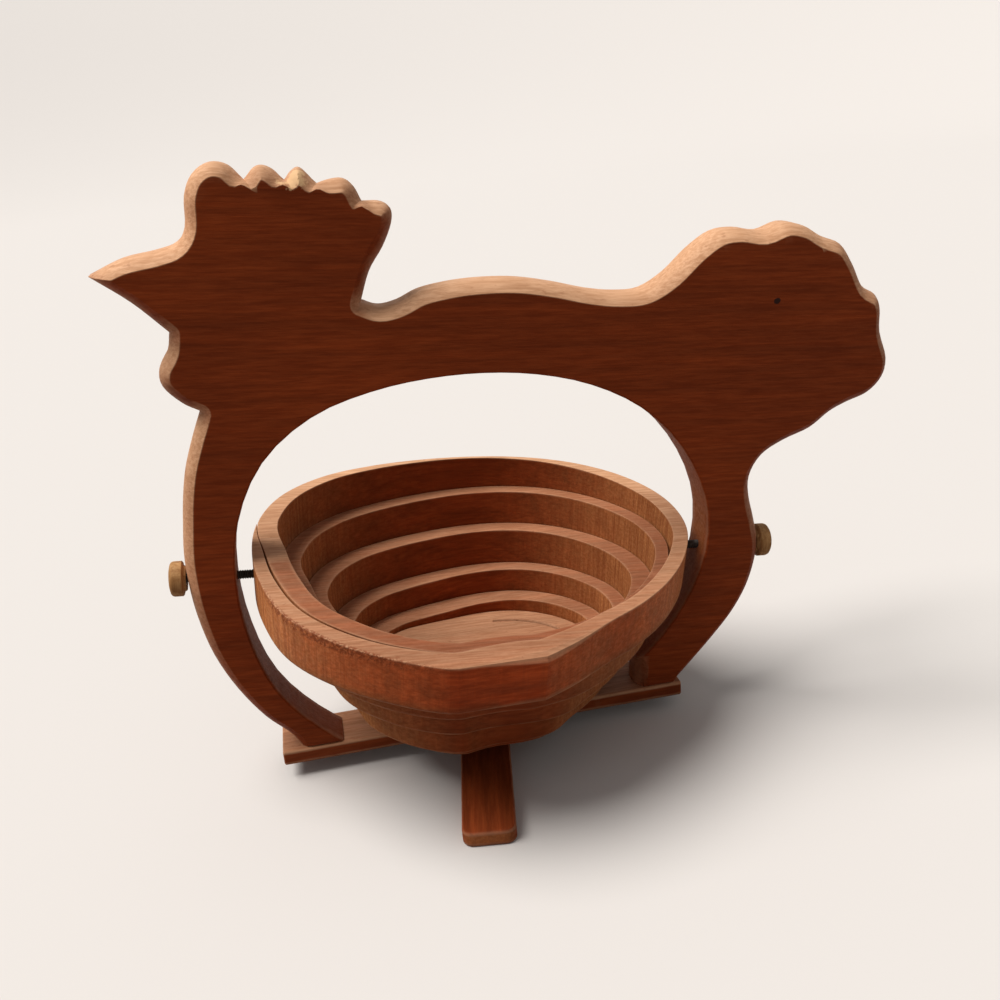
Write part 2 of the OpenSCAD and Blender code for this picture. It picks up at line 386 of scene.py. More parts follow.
def nearest_point(points, loop):
    """For each point, the index of the nearest point of the loop."""
    parts = [points[i:i + 2000, None] for i in range(0, len(points), 2000)]
    return np.concatenate([((part - loop[None]) ** 2).sum(-1).argmin(1) for part in parts])


def inside_loop(points, loop):
    """Even-odd test of points against a closed loop."""
    x, y = points[:, 0:1], points[:, 1:2]
    ax, ay = loop[:, 0][None], loop[:, 1][None]
    bx, by = np.roll(ax, -1, 1), np.roll(ay, -1, 1)
    crosses = (ay > y) != (by > y)
    at = ax + (y - ay) * (bx - ax) / np.where(by == ay, 1e-12, by - ay)
    return ((crosses & (x < at)).sum(1) % 2) == 1


def signed_area(loop):
    x, y = loop.T
    return 0.5 * np.sum(x * np.roll(y, -1) - np.roll(x, -1) * y)


def edge_drop(d, width):
    """Fall of a board's face at a distance d inside its outline, over the width of the rounded band.

    The band is an arc that leaves the face at 35 degrees and ends 10 degrees short of square: with
    sin(f) = sin(35) + (width - d) / R the drop is R (cos(35) - cos(f)), where R is width over
    sin(80) - sin(35).
    """
    low, high = math.radians(35), math.radians(80)
    arc = width / (math.sin(high) - math.sin(low))
    rise = math.sin(low) + np.clip(width - d, 0, width) / arc
    return arc * (math.cos(low) - np.sqrt(1 - rise ** 2))


def corner_fans(loop, width):
    """Points fanned out from the outline's inner corners at the distances of the band."""
    after = np.roll(loop, -1, 0) - loop
    before = loop - np.roll(loop, 1, 0)
    turn = before[:, 0] * after[:, 1] - before[:, 1] * after[:, 0]
    size = np.linalg.norm(before, axis=1) * np.linalg.norm(after, axis=1)
    inner = turn < -0.17 * size
    fans = []
    for share in (0.2, 0.4, 0.6, 0.8):
        way = ((1 - share) * before + share * after)[inner]
        way /= np.linalg.norm(way, axis=1, keepdims=True)
        for d in (0.4, 0.7, 1.0, 1.1):
            fans.append(loop[inner] + np.stack([-way[:, 1], way[:, 0]], 1) * (d * width[inner])[:, None])
    return [fan[inside_loop(fan, loop)] for fan in fans if len(fan)]


def corner_ridges(loop, width):
    """Pairs of points beside the ridge inside each pointed corner, where its two wide bands meet.

    Each pair lies on either side of the corner's middle line, at d over the sine of half the corner's angle
    along it, for distances d of up to 1.1 times the band's width.
    """
    after = np.roll(loop, -1, 0) - loop
    before = loop - np.roll(loop, 1, 0)
    after /= np.linalg.norm(after, axis=1, keepdims=True)
    before /= np.linalg.norm(before, axis=1, keepdims=True)
    turn = before[:, 0] * after[:, 1] - before[:, 1] * after[:, 0]
    pointed = (turn > 0.5) & (width > WIDE_ROUND)
    tip, after, width = loop[pointed], after[pointed], width[pointed]
    middle = after - before[pointed]
    middle /= np.linalg.norm(middle, axis=1, keepdims=True)
    across = np.stack([-middle[:, 1], middle[:, 0]], 1)
    sine = np.abs((across * after).sum(1))
    pairs = []
    for share in np.linspace(0.05, 1.1, 22):
        on_ridge = tip + middle * (share * width / sine)[:, None]
        pairs += [on_ridge - across * RIDGE_GAP, on_ridge + across * RIDGE_GAP]
    return pairs


def slab(name, loop, half, round_of, grid, matrix, upper=0.0, bend=np.asarray):
    """A flat board with softened edges: both faces fall away near the outline by edge_drop.

    round_of gives the width of the band for each segment; the drop is taken for the nearest segment of each
    width. The attribute top is painted light: upper on the upper face, and up to 1 over wide bands and the
    wall between, a painted highlight that is strongest where they face LIT_FROM.
    """
    if signed_area(loop) < 0:
        loop = loop[::-1]
        round_of = np.roll(round_of[::-1], -1)
    along = np.roll(loop, -1, 0) - np.roll(loop, 1, 0)
    inward = np.stack([-along[:, 1], along[:, 0]], 1)
    inward /= np.maximum(np.linalg.norm(inward, axis=1, keepdims=True), 1e-12)
    every = np.ones(len(loop), bool)
    rows = [loop]
    point_round = np.minimum(round_of, np.roll(round_of, 1))
    for share in (0.05, 0.18, 0.4, 0.7, 1.0, 1.1):
        d = share * point_round
        ring = loop + inward * d[:, None]
        far = segment_distance(ring, loop, every)
        ok = (far > 0.97 * d) & inside_loop(ring, loop)
        rows.append(ring[ok])
    rows += corner_fans(loop, point_round) + corner_ridges(loop, point_round)
    low, high = loop.min(0), loop.max(0)
    gx, gy = np.meshgrid(np.arange(low[0], high[0], grid), np.arange(low[1], high[1], grid))
    lattice = np.stack([gx.ravel(), gy.ravel()], 1)
    lattice = lattice[inside_loop(lattice, loop)]
    lattice = lattice[segment_distance(lattice, loop, every) > max(0.55 * grid, round_of.min() * 1.2)]
    for r in np.unique(round_of):
        d = segment_distance(lattice, loop, round_of == r)
        lattice = lattice[(d < 0.85 * r) | (d > 1.3 * r)]
    rows.append(lattice)
    flat = np.concatenate(rows)
    n = len(loop)
    edges = [(i, (i + 1) % n) for i in range(n)]
    made = delaunay_2d_cdt([Vector(p) for p in flat], edges, [], 1, 1e-7)
    verts = np.array([tuple(v) for v in made[0]])
    tris = np.array([f for f in made[2] if len(f) == 3])
    drop = np.zeros(len(verts))
    near = np.full(len(verts), 1.0)
    band = np.zeros(len(verts))
    for r in np.unique(round_of):
        d = segment_distance(verts, loop, round_of == r)
        near = np.minimum(near, d / r)
        if r > WIDE_ROUND:
            band = np.clip((1.1 - d / r) / 0.1, 0, 1)
        drop = np.maximum(drop, edge_drop(d, r))
    mid = verts[tris].mean(1)
    tris = tris[inside_loop(mid, loop)]
    border = [i for i, src in enumerate(made[3]) if any(k < n for k in src)]
    order = {}
    for i in border:
        for k in made[3][i]:
            if k < n:
                order[k] = i
    ring = np.array([order[k] for k in range(n)])
    count = len(verts)
    top = np.c_[verts, half - drop]
    bottom = np.c_[verts, -(half - drop)]
    across = (0.6, 0.0, -0.6)
    sides = [np.c_[verts[ring], (half - drop[ring]) * k] for k in across]
    points = bend(np.concatenate([top, bottom] + sides))
    strips = [ring] + [2 * count + i * n + np.arange(n) for i in range(len(across))] + [ring + count]
    faces = tris.tolist() + (tris[:, ::-1] + count).tolist()
    for high, low in zip(strips[:-1], strips[1:]):
        faces += np.stack([high, low, np.roll(low, -1), np.roll(high, -1)], 1).tolist()
    wear_face = np.clip(1 - near, 0, 1)
    # Painted highlight: wide bands and the sides are paler where they face LIT_FROM, less so towards the
    # feet.
    lit = np.clip(0.35 - inward @ LIT_FROM, 0, 1) * np.clip(1 + loop[:, 1] / LIT_HEIGHT, 0.25, 1)
    lit = np.mean([np.roll(lit, k) for k in range(-3, 4)], axis=0)
    band = band * lit[nearest_point(verts, loop)]
    wide = np.tile((point_round > WIDE_ROUND) * lit, len(across))
    # Worn faces all round the outline; on the sides, 0.8 where lit and wide, which is a painted highlight.
    wear = np.concatenate([wear_face, wear_face, np.where(wide > 0.3, 0.8, 0.2)])
    grain = np.zeros(len(points))
    grain[2 * count:] = np.tile(inward[:, 0] ** 2, len(across))
    # The top attribute carries painted light: upper on the upper face, and the lit bands and sides.
    pale = np.concatenate([np.maximum(band, upper), band, wide])
    piece = new_mesh(name, placed(points, np.array(matrix)), faces,
                     {"board": points, "wear": wear, "end_grain": grain, "top": pale})
    face_outwards(piece)
    return piece


def prism_outline(node, matrix):
    """The outline of a CAD board: the loop of its edges that lie on one face and belong to a side wall."""
    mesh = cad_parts[node].data
    co = np.array([tuple(v.co) for v in mesh.vertices])
    inverse = np.array(matrix.inverted())
    flat = co @ inverse[:3, :3].T + inverse[:3, 3]
    level = flat[:, 2].max()
    keys = np.round(flat[:, :2] * 1e5).astype(int)
    follow = {}
    for poly in mesh.polygons:
        ids = list(poly.vertices)
        tri = flat[ids]
        normal = np.cross(tri[1] - tri[0], tri[2] - tri[0])
        size = np.linalg.norm(normal)
        if size < 1e-14 or abs(normal[2]) / size > 0.2:
            continue
        tops = [k for k in range(3) if abs(tri[k][2] - level) < 1e-5]
        if len(tops) == 2:
            i, j = tops
            if (i + 1) % 3 != j:
                i, j = j, i
            a, b = tuple(keys[ids[i]]), tuple(keys[ids[j]])
            if a != b:
                follow[a] = b
    loops = []
    while follow:
        first = next(iter(follow))
        loop = [first]
        here = follow.pop(first)
        while here != first and here in follow:
            loop.append(here)
            here = follow.pop(here)
        loops.append(np.array(loop, float) * 1e-5)
    if not loops:
        raise RuntimeError(f"{node} has no outline to follow")
    return max(loops, key=lambda loop: abs(signed_area(loop)))


def resample(loop, spacing):
    """A loop with points at about even spacing that keeps its corners."""
    out = []
    for a, b in zip(loop, np.roll(loop, -1, 0)):
        n = max(1, int(round(np.linalg.norm(b - a) / spacing)))
        out += [a + (b - a) * k / n for k in range(n)]
    return np.array(out)


def notched(points):
    """The hen's points with the comb's notches filled towards the front face.

    Each notch lifts a point by NOTCH_FILL times exp(-(du / a)^2 - (dv / b)^2) times its share of the way
    forward.
    """
    away = (points[:, None, :2] - NOTCHES) / NOTCH_SPREAD
    lift = NOTCH_FILL * np.exp(-(away ** 2).sum(-1)).max(1) * (points[:, 2] / HALF_T + 1) / 2
    return points + np.stack([0 * lift, lift, 0 * lift], 1)


def drawn_in(loop):
    """The tail's points moved towards the pivots by a share of their distance past the tail's start."""
    high = np.clip((loop[:, 1] - TAIL_FROM) / (TAIL_FULL - TAIL_FROM), 0, 1)
    past = np.maximum(loop[:, 0] - TAIL_START, 0)
    return np.stack([loop[:, 0] - TAIL_SHARE * past * high, loop[:, 1]], 1)


def lathe(name, profile, matrix, segments=48):
    """A profile of radius and height turned about Z, closed on the axis at both ends."""
    profile = np.array(profile, float)
    a = np.linspace(0, TURN, segments, endpoint=False)
    r, z = profile[:, 0][:, None], profile[:, 1][:, None]
    flat = np.stack([r * np.cos(a), r * np.sin(a), z + 0 * a], -1)
    rows = len(profile)
    index = np.arange(rows * segments).reshape(rows, segments)
    here, above = index[:-1], index[1:]
    quads = np.stack([here, np.roll(here, -1, 1), np.roll(above, -1, 1), above], -1).reshape(-1, 4).tolist()
    points = flat.reshape(-1, 3)
    faces = quads + [index[0][::-1].tolist(), index[-1].tolist()]
    wear = np.zeros(len(points))
    piece = new_mesh(name, placed(points, np.array(matrix)), faces,
                     {"board": points, "wear": wear, "end_grain": wear + 0.5})
    face_outwards(piece)
    return piece


def add_node(tree, kind, **values):
    node = tree.nodes.new(kind)
    for key, value in values.items():
        if key in node.inputs:
            node.inputs[key].default_value = value
        else:
            setattr(node, key, value)
    return node


def group_base(name, inputs, outputs):
    """An empty shader node group with the named sockets."""
    tree = bpy.data.node_groups.new(name, "ShaderNodeTree")
    for kind, label, value in inputs:
        socket = tree.interface.new_socket(label, in_out="INPUT", socket_type=kind)
        socket.default_value = value
    for kind, label in outputs:
        tree.interface.new_socket(label, in_out="OUTPUT", socket_type=kind)
    return tree, tree.nodes.new("NodeGroupInput"), tree.nodes.new("NodeGroupOutput")


FLOAT = "NodeSocketFloat"
VECTOR = "NodeSocketVector"


def stretched_noise(tree, source, scale, detail, rough=0.6, distortion=0.0):
    """Noise drawn out along the grain by scaling its coordinates."""
    mapping = add_node(tree, "ShaderNodeMapping")
    mapping.inputs["Scale"].default_value = scale
    noise = add_node(tree, "ShaderNodeTexNoise")
    noise.inputs["Scale"].default_value = 1
    noise.inputs["Detail"].default_value = detail
    noise.inputs["Roughness"].default_value = rough
    noise.inputs["Distortion"].default_value = distortion
    tree.links.new(source, mapping.inputs["Vector"])
    tree.links.new(mapping.outputs["Vector"], noise.inputs["Vector"])
    return noise.outputs["Fac"]


def ranged(tree, value, low, high, to_low=0.0, to_high=1.0):
    node = tree.nodes.new("ShaderNodeMapRange")
    node.inputs["From Min"].default_value = low
    node.inputs["From Max"].default_value = high
    node.inputs["To Min"].default_value = to_low
    node.inputs["To Max"].default_value = to_high
    tree.links.new(value, node.inputs["Value"])
    return node.outputs["Result"]


def maths(tree, operation, a, b):
    node = tree.nodes.new("ShaderNodeMath")
    node.operation = operation
    for socket, value in zip(node.inputs, (a, b)):
        if isinstance(value, (int, float)):
            socket.default_value = value
        else:
            tree.links.new(value, socket)
    return node.outputs["Value"]


def mixed(tree, factor, a, b, blend="MIX"):
    node = tree.nodes.new("ShaderNodeMix")
    node.data_type = "RGBA"
    node.blend_type = blend
    for key, kind, value in (("Factor", "VALUE", factor), ("A", "RGBA", a), ("B", "RGBA", b)):
        socket = [s for s in node.inputs if s.name == key and s.type == kind][0]
        if isinstance(value, (int, float, tuple)):
            socket.default_value = value
        else:
            tree.links.new(value, socket)
    return [s for s in node.outputs if s.type == "RGBA"][0]


def srgb(red, green, blue):
    """Linear colour of an sRGB value from 0 to 255."""
    values = (red, green, blue)
    return tuple(c / 3294.6 if c <= 10.3 else ((c / 255 + 0.055) / 1.055) ** 2.4 for c in values) + (1,)


END_GRAIN = srgb(220, 158, 102)
BLEACHED = (1.75, 1.35, 1.15, 1)
PORE_TINT = (0.74, 0.66, 0.6, 1)
RAW_WOOD = srgb(228, 186, 140)


def grain_group():
    """Long grain: growth streaks, fine pores and a slow change of tone, drawn out along the board."""
    tree, given, result = group_base(
        "board_grain",
        [(VECTOR, "Board", (0, 0, 0)), (FLOAT, "Streaks", 1.0)],
        [(FLOAT, "Streak"), (FLOAT, "Pores"), (FLOAT, "Tone")],
    )
    board = given.outputs["Board"]
    streak = stretched_noise(tree, board, (9, 260, 140), 6, 0.72, 0.3)
    pores = stretched_noise(tree, board, (70, 850, 850), 3, 0.7)
    tone = stretched_noise(tree, board, (7, 22, 22), 3, 0.5, 0.8)
    tree.links.new(maths(tree, "MULTIPLY", ranged(tree, streak, 0.36, 0.64), given.outputs["Streaks"]),
                   result.inputs["Streak"])
    tree.links.new(ranged(tree, pores, 0.35, 0.62), result.inputs["Pores"])
    tree.links.new(ranged(tree, tone, 0.3, 0.7), result.inputs["Tone"])
    return tree


def wear_group():
    """Worn edges, and the painted highlight that the hen's lit sides carry in the same mask: the edge mask
    broken up by noise, and scattered small nicks.
    """
    tree, given, result = group_base(
        "edge_wear",
        [(VECTOR, "Board", (0, 0, 0)), (FLOAT, "Edge", 0.0), (FLOAT, "Amount", 1.0)],
        [(FLOAT, "Worn"), (FLOAT, "Nicks")],
    )
    board = given.outputs["Board"]
    ragged = stretched_noise(tree, board, (60, 60, 60), 4, 0.6)
    nicks = stretched_noise(tree, board, (260, 420, 420), 2, 0.5)
    broken = maths(tree, "ADD", given.outputs["Edge"], ranged(tree, ragged, 0.3, 0.7, -0.28, 0.22))
    worn = maths(tree, "MULTIPLY", ranged(tree, broken, 0.3, 0.95), given.outputs["Amount"])
    tree.links.new(worn, result.inputs["Worn"])
    tree.links.new(ranged(tree, nicks, 0.66, 0.74), result.inputs["Nicks"])
    return tree


def saw_group():
    """Saw marks: fine upright lines on the sawn walls, stronger on end grain."""
    tree, given, result = group_base(
        "saw_marks",
        [(VECTOR, "Board", (0, 0, 0)), (FLOAT, "End grain", 0.0)],
        [(FLOAT, "Marks")],
    )
    lines = stretched_noise(tree, given.outputs["Board"], (640, 640, 26), 4, 0.75)
    strong = maths(tree, "MULTIPLY_ADD", given.outputs["End grain"], 0.65)
    strong.node.inputs[2].default_value = 0.35
    tree.links.new(maths(tree, "MULTIPLY", ranged(tree, lines, 0.4, 0.62), strong), result.inputs["Marks"])
    return tree


def chip_group():
    """Pits where end grain broke out under the saw: coarse dots kept to where the mask says."""
    tree, given, result = group_base(
        "broken_grain",
        [(VECTOR, "Board", (0, 0, 0)), (FLOAT, "Where", 0.0)],
        [(FLOAT, "Pits")],
    )
    dots = stretched_noise(tree, given.outputs["Board"], (820, 820, 620), 2, 0.6)
    where = ranged(tree, given.outputs["Where"], 0.25, 0.75)
    pits = maths(tree, "MULTIPLY", ranged(tree, dots, 0.44, 0.56), where)
    tree.links.new(maths(tree, "MULTIPLY", pits, 0.75), result.inputs["Pits"])
    return tree


GROUPS = {}


def placed_group(tree, key):
    node = tree.nodes.new("ShaderNodeGroup")
    node.node_tree = GROUPS[key]
    return node


def attribute(tree, name):
    node = tree.nodes.new("ShaderNodeAttribute")
    node.attribute_name = name
    return node


def spot(tree, board, centre, radius):
    """Mask that is 1 near a place on the board and breaks off raggedly at the radius."""
    apart = tree.nodes.new("ShaderNodeVectorMath")
    apart.operation = "DISTANCE"
    tree.links.new(board, apart.inputs[0])
    apart.inputs[1].default_value = centre
    noise = stretched_noise(tree, board, (420, 420, 420), 2)
    ragged = ranged(tree, noise, 0.3, 0.7, -0.25 * radius, 0.25 * radius)
    return ranged(tree, maths(tree, "ADD", apart.outputs["Value"], ragged), radius, 0.8 * radius)


def wood(name, dark, base, pale, worn_amount, sawn, painted_light_share, rough=0.6, spots=()):
    """Oiled wood: streaks of dark and base tone, pale worn edges, tan saw-marked end grain, and painted
    light: top faces and lit edges mixed towards the pale colour.

    spots lists places on the board with their radius and colour.
    """
    material = bpy.data.materials.new(name)
    material.use_nodes = True
    tree = material.node_tree
    shader = tree.nodes["Principled BSDF"]
    board = attribute(tree, "board").outputs["Vector"]
    edge = attribute(tree, "wear").outputs["Fac"]
    ends = attribute(tree, "end_grain").outputs["Fac"]
    top = attribute(tree, "top").outputs["Fac"]
    chips = attribute(tree, "chips").outputs["Fac"]
    bleach = attribute(tree, "bleach").outputs["Fac"]
    grain = placed_group(tree, "grain")
    tree.links.new(board, grain.inputs["Board"])
    wear = placed_group(tree, "wear")
    tree.links.new(board, wear.inputs["Board"])
    tree.links.new(edge, wear.inputs["Edge"])
    wear.inputs["Amount"].default_value = worn_amount
    saw = placed_group(tree, "saw")
    tree.links.new(board, saw.inputs["Board"])
    tree.links.new(ends, saw.inputs["End grain"])
    chip = placed_group(tree, "chip")
    tree.links.new(board, chip.inputs["Board"])
    tree.links.new(chips, chip.inputs["Where"])
    colour = mixed(tree, grain.outputs["Streak"], dark, base)
    colour = mixed(tree, bleach, colour, BLEACHED, "MULTIPLY")
    colour = mixed(tree, maths(tree, "MULTIPLY", ends, 0.95 * sawn), colour, END_GRAIN)
    # Painted light: top faces and lit edges, by the top attribute, mixed towards the pale colour.
    colour = mixed(tree, maths(tree, "MULTIPLY", top, painted_light_share), colour, pale)
    warm = mixed(tree, grain.outputs["Tone"], (0.84, 0.8, 0.78, 1), (1.14, 1.12, 1.1, 1))
    colour = mixed(tree, 1.0, colour, warm, "MULTIPLY")
    colour = mixed(tree, grain.outputs["Pores"], colour, PORE_TINT, "MULTIPLY")
    walls = maths(tree, "SUBTRACT", 1.0, top)
    marks = maths(tree, "MULTIPLY", maths(tree, "MULTIPLY", saw.outputs["Marks"], sawn), walls)
    colour = mixed(tree, maths(tree, "MULTIPLY", marks, 0.75), colour, dark)
    colour = mixed(tree, wear.outputs["Worn"], colour, pale)
    colour = mixed(tree, maths(tree, "MULTIPLY", wear.outputs["Nicks"], 0.3), colour, dark)
    colour = mixed(tree, chip.outputs["Pits"], colour, dark)
    for centre, radius, tint in spots:
        colour = mixed(tree, spot(tree, board, centre, radius), colour, tint)
    tree.links.new(colour, shader.inputs["Base Color"])
    roughness = maths(tree, "ADD", maths(tree, "MULTIPLY", grain.outputs["Pores"], 0.14), rough - 0.07)
    tree.links.new(roughness, shader.inputs["Roughness"])
    shader.inputs["Specular IOR Level"].default_value = 0.1
    height = maths(tree, "ADD", maths(tree, "MULTIPLY", grain.outputs["Pores"], -0.35),
                   maths(tree, "MULTIPLY", marks, -0.9))
    height = maths(tree, "ADD", height, maths(tree, "MULTIPLY", grain.outputs["Streak"], 0.25))
    height = maths(tree, "ADD", height, maths(tree, "MULTIPLY", chip.outputs["Pits"], -2.5))
    bumped = add_node(tree, "ShaderNodeBump")
    bumped.inputs["Strength"].default_value = 0.4
    bumped.inputs["Distance"].default_value = 0.25 * MM
    tree.links.new(height, bumped.inputs["Height"])
    tree.links.new(bumped.outputs["Normal"], shader.inputs["Normal"])
    return material


def dark_steel(name):
    """Dull screw steel with brown staining."""
    material = bpy.data.materials.new(name)
    material.use_nodes = True
    tree = material.node_tree
    shader = tree.nodes["Principled BSDF"]
    where = tree.nodes.new("ShaderNodeTexCoord").outputs["Object"]
    stain = ranged(tree, stretched_noise(tree, where, (500, 500, 500), 4), 0.35, 0.7)
    tree.links.new(mixed(tree, stain, srgb(70, 66, 62), srgb(46, 30, 22)), shader.inputs["Base Color"])
    tree.links.new(ranged(tree, stain, 0, 1, 0.38, 0.75), shader.inputs["Roughness"])
    shader.inputs["Metallic"].default_value = 0.85
    return material


def paint(piece, material):
    piece.data.materials.clear()
    piece.data.materials.append(material)


class BasketLooks(bpy.types.PropertyGroup):
    """Colours and edge wear of the wooden pieces."""

    hen_round: bpy.props.FloatProperty(
        name="Hen edge round", description="Width of the rounded band along the hen's outline",
        default=4.0 * MM, min=1 * MM, max=5 * MM, unit="LENGTH")
    opening_round: bpy.props.FloatProperty(
        name="Opening edge", description="Width of the softened edge round the opening",
        default=0.7 * MM, min=0.2 * MM, max=3 * MM, unit="LENGTH")
    hen_colour: bpy.props.FloatVectorProperty(
        name="Hen colour", description="Tone of the hen's oiled face", subtype="COLOR",
        size=3, default=srgb(142, 62, 24)[:3], min=0, max=1)
    basket_colour: bpy.props.FloatVectorProperty(
        name="Basket colour", description="Tone of the basket's oiled faces", subtype="COLOR",
        size=3, default=srgb(156, 74, 36)[:3], min=0, max=1)
    # Also the colour of the painted light on top faces and lit edges.
    worn_and_lit_colour: bpy.props.FloatVectorProperty(
        name="Worn colour", description="Tone of rubbed edges and bare wood", subtype="COLOR",
        size=3, default=srgb(228, 182, 144)[:3], min=0, max=1)


class StageLooks(bpy.types.PropertyGroup):
    """Light and floor of the stage."""

    sun: bpy.props.FloatProperty(
        name="Key light", description="Strength of the key light from the left and above",
        default=3.6, min=0, max=10)
    fill: bpy.props.FloatProperty(
        name="Fill light", description="Strength of the light from all round", default=0.28, min=0, max=2)


def shade(colour, by):
    return tuple(c * by for c in colour) + (1,)


def hen_material():
    looks = bpy.context.scene.basket_looks
    c = tuple(looks.hen_colour)
    spots = ((CHIP_AT, CHIP_RADIUS, RAW_WOOD), (KNOT_AT, KNOT_RADIUS, srgb(38, 16, 10)))
    worn = tuple(looks.worn_and_lit_colour) + (1,)
    # The last number is how far the painted highlight on lit edges goes towards the pale colour.
    return wood("hen_wood", shade(c, 0.74), shade(c, 1.08), worn, 0.2, 0.3, 0.92, spots=spots)


def basket_material():
    looks = bpy.context.scene.basket_looks
    c = tuple(looks.basket_colour)
    worn = tuple(looks.worn_and_lit_colour) + (1,)
    # The last number is how far the painted light on top faces goes towards the pale colour.
    return wood("basket_wood", shade(c, 0.58), shade(c, 1.05), worn, 0.25, 0.8, 0.9)


class BASKET_OT_hen_board(bpy.types.Operator):
    """Hen-shaped frame board with its rounded outline"""

    bl_idname = "basket.hen_board"
    bl_label = "Hen Board"

    def execute(self, context):
        looks = context.scene.basket_looks
        matrix = pivot_frame() @ Matrix.Rotation(math.radians(90), 4, "X")
        loop = drawn_in(resample(prism_outline("frame_board", matrix), 1.6 * MM))
        ends = np.roll(loop, -1, 0)
        mid = (loop + ends) / 2
        angle = np.arctan2(mid[:, 1], mid[:, 0])
        radius = np.hypot(mid[:, 0], mid[:, 1])
        free = smooth(RIM_KEYS, angle % TURN / math.radians(15), True)
        opening = radius < free + 7.2 * MM
        foot = (mid[:, 1] < -54 * MM) & (np.abs(np.diff(np.vstack([loop, loop[:1]]), axis=0)[:, 1]) <
                                         0.2 * np.linalg.norm(ends - loop, axis=1) + 1e-6)
        rounds = np.where(opening | foot, looks.opening_round, looks.hen_round)
        piece = slab("hen_board", loop, HALF_T, rounds, 3.2 * MM, matrix, bend=notched)
        if len(loop) < 300:
            raise RuntimeError("the hen's outline is not complete")
        soften(piece, 24)
        paint(piece, hen_material())
        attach(piece, "frame")
        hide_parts("frame_board")
        return {"FINISHED"}


class BASKET_OT_spiral_basket(bpy.types.Operator):
    """Rim, coils and base of the sawn basket"""

    bl_idname = "basket.spiral_basket"
    bl_label = "Spiral Basket"

    def execute(self, context):
        material = basket_material()
        piece, _ = sweep_strip("rim_strip", TIP_START, COIL_START, 0)
        paint(piece, material)
        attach(piece, "rim")
        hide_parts("basket_rim")
        line = np.linspace(COIL_START, COIL_END, 4000)
        depth = hang(line)
        cuts = [COIL_START] + [line[np.argmax(depth >= ring)] for ring in range(1, 5)] + [COIL_END]
        if np.any(np.diff(cuts) <= 0):
            raise RuntimeError("the rings of the strip are out of order")
        for k in range(5):
            piece, share = sweep_strip(f"coil_{k + 1}", cuts[k], cuts[k + 1], k)
            paint(piece, material)
            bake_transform(piece)
            if k < 4:
                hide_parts(f"spiral_turn_{k + 1}")
        s = np.linspace(COIL_END, COIL_END + 1, 150)
        slot_s = np.linspace(COIL_END, SAW_END, 70)
        loop = np.concatenate([around(outer_radius(s), s), around(outer_radius(slot_s + 1), slot_s)[1:],
                               around(inner_radius(slot_s), slot_s)[::-1]])
        rounds = np.full(len(loop), 0.5 * MM)
        # The base's top face is painted paler, at 0.68: painted light.
        piece = slab("base_board", loop, HALF_T, rounds, 2.6 * MM, Matrix(PLACES[5].tolist()), 0.68)
        soften(piece, 40)
        paint(piece, material)
        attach(piece, "base")
        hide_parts("base_disc")
        return {"FINISHED"}


def pivot_axis(side):
    """From the local Z axis to the pivot line, pointing outwards on that side."""
    return pivot_frame() @ Matrix.Rotation(side * math.radians(90), 4, "Y")


class BASKET_OT_pivots(bpy.types.Operator):
    """Pivot screws and the wooden buttons over their heads"""

    bl_idname = "basket.pivots"
    bl_label = "Pivots and Buttons"

    def execute(self, context):
        steel = dark_steel("screw_steel")
        tones = [srgb(150, 112, 70), srgb(206, 168, 118), srgb(222, 190, 146)]
        button_wood = wood("button_wood", *tones, 0.4, 0.3, 0)
        sides = (("left", -1, 111.95, 76.4), ("right", 1, 115.45, 80.1))
        for side, sign, seat, inner in sides:
            axis = pivot_axis(sign)
            thread = []
            z = inner * MM
            while z < (seat + 4.0) * MM:
                thread += [(PIN_D * 0.40, z), (PIN_D * 0.5, z + 0.35 * MM), (PIN_D * 0.5, z + 0.5 * MM)]
                z += 0.9 * MM
            if not thread:
                raise RuntimeError(f"the {side} screw has no thread")
            head = [(PIN_D * 0.5, z), (PIN_D * 0.88, z + 0.1 * MM), (PIN_D * 0.88, z + 1.0 * MM)]
            screw = lathe(f"screw_{side}", thread + head, axis, 32)
            soften(screw, 50)
            paint(screw, steel)
            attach(screw, "frame")
            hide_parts(f"pivot_screw_{side}")
            r = 6.7 * MM
            z0 = seat * MM
            profile = [(2.1 * MM, z0 + 0.3 * MM), (4.6 * MM, z0), (5.1 * MM, z0 + 0.9 * MM),
                       (r - 0.5 * MM, z0 + 1.1 * MM), (r, z0 + 1.5 * MM), (r, z0 + 4.6 * MM),
                       (r - 0.3 * MM, z0 + 5.4 * MM), (r - 1.0 * MM, z0 + 5.9 * MM),
                       (r - 2.6 * MM, z0 + 6.3 * MM), (0.6 * MM, z0 + 6.5 * MM)]
            button = lathe(f"knob_{side}", profile, axis, 56)
            soften(button, 50)
            paint(button, button_wood)
            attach(button, "frame")
            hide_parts(f"button_{side}")
        return {"FINISHED"}


def box_loop(length, width, corner):
    """Rectangle with round corners as a loop of points."""
    points = []
    for cx, cy, start in ((1, 1, 0), (-1, 1, 90), (-1, -1, 180), (1, -1, 270)):
        for a in np.linspace(0, 90, 7):
            t = math.radians(start + a)
            points.append((cx * (length / 2 - corner) + corner * math.cos(t),
                           cy * (width / 2 - corner) + corner * math.sin(t)))
    return np.array(points)


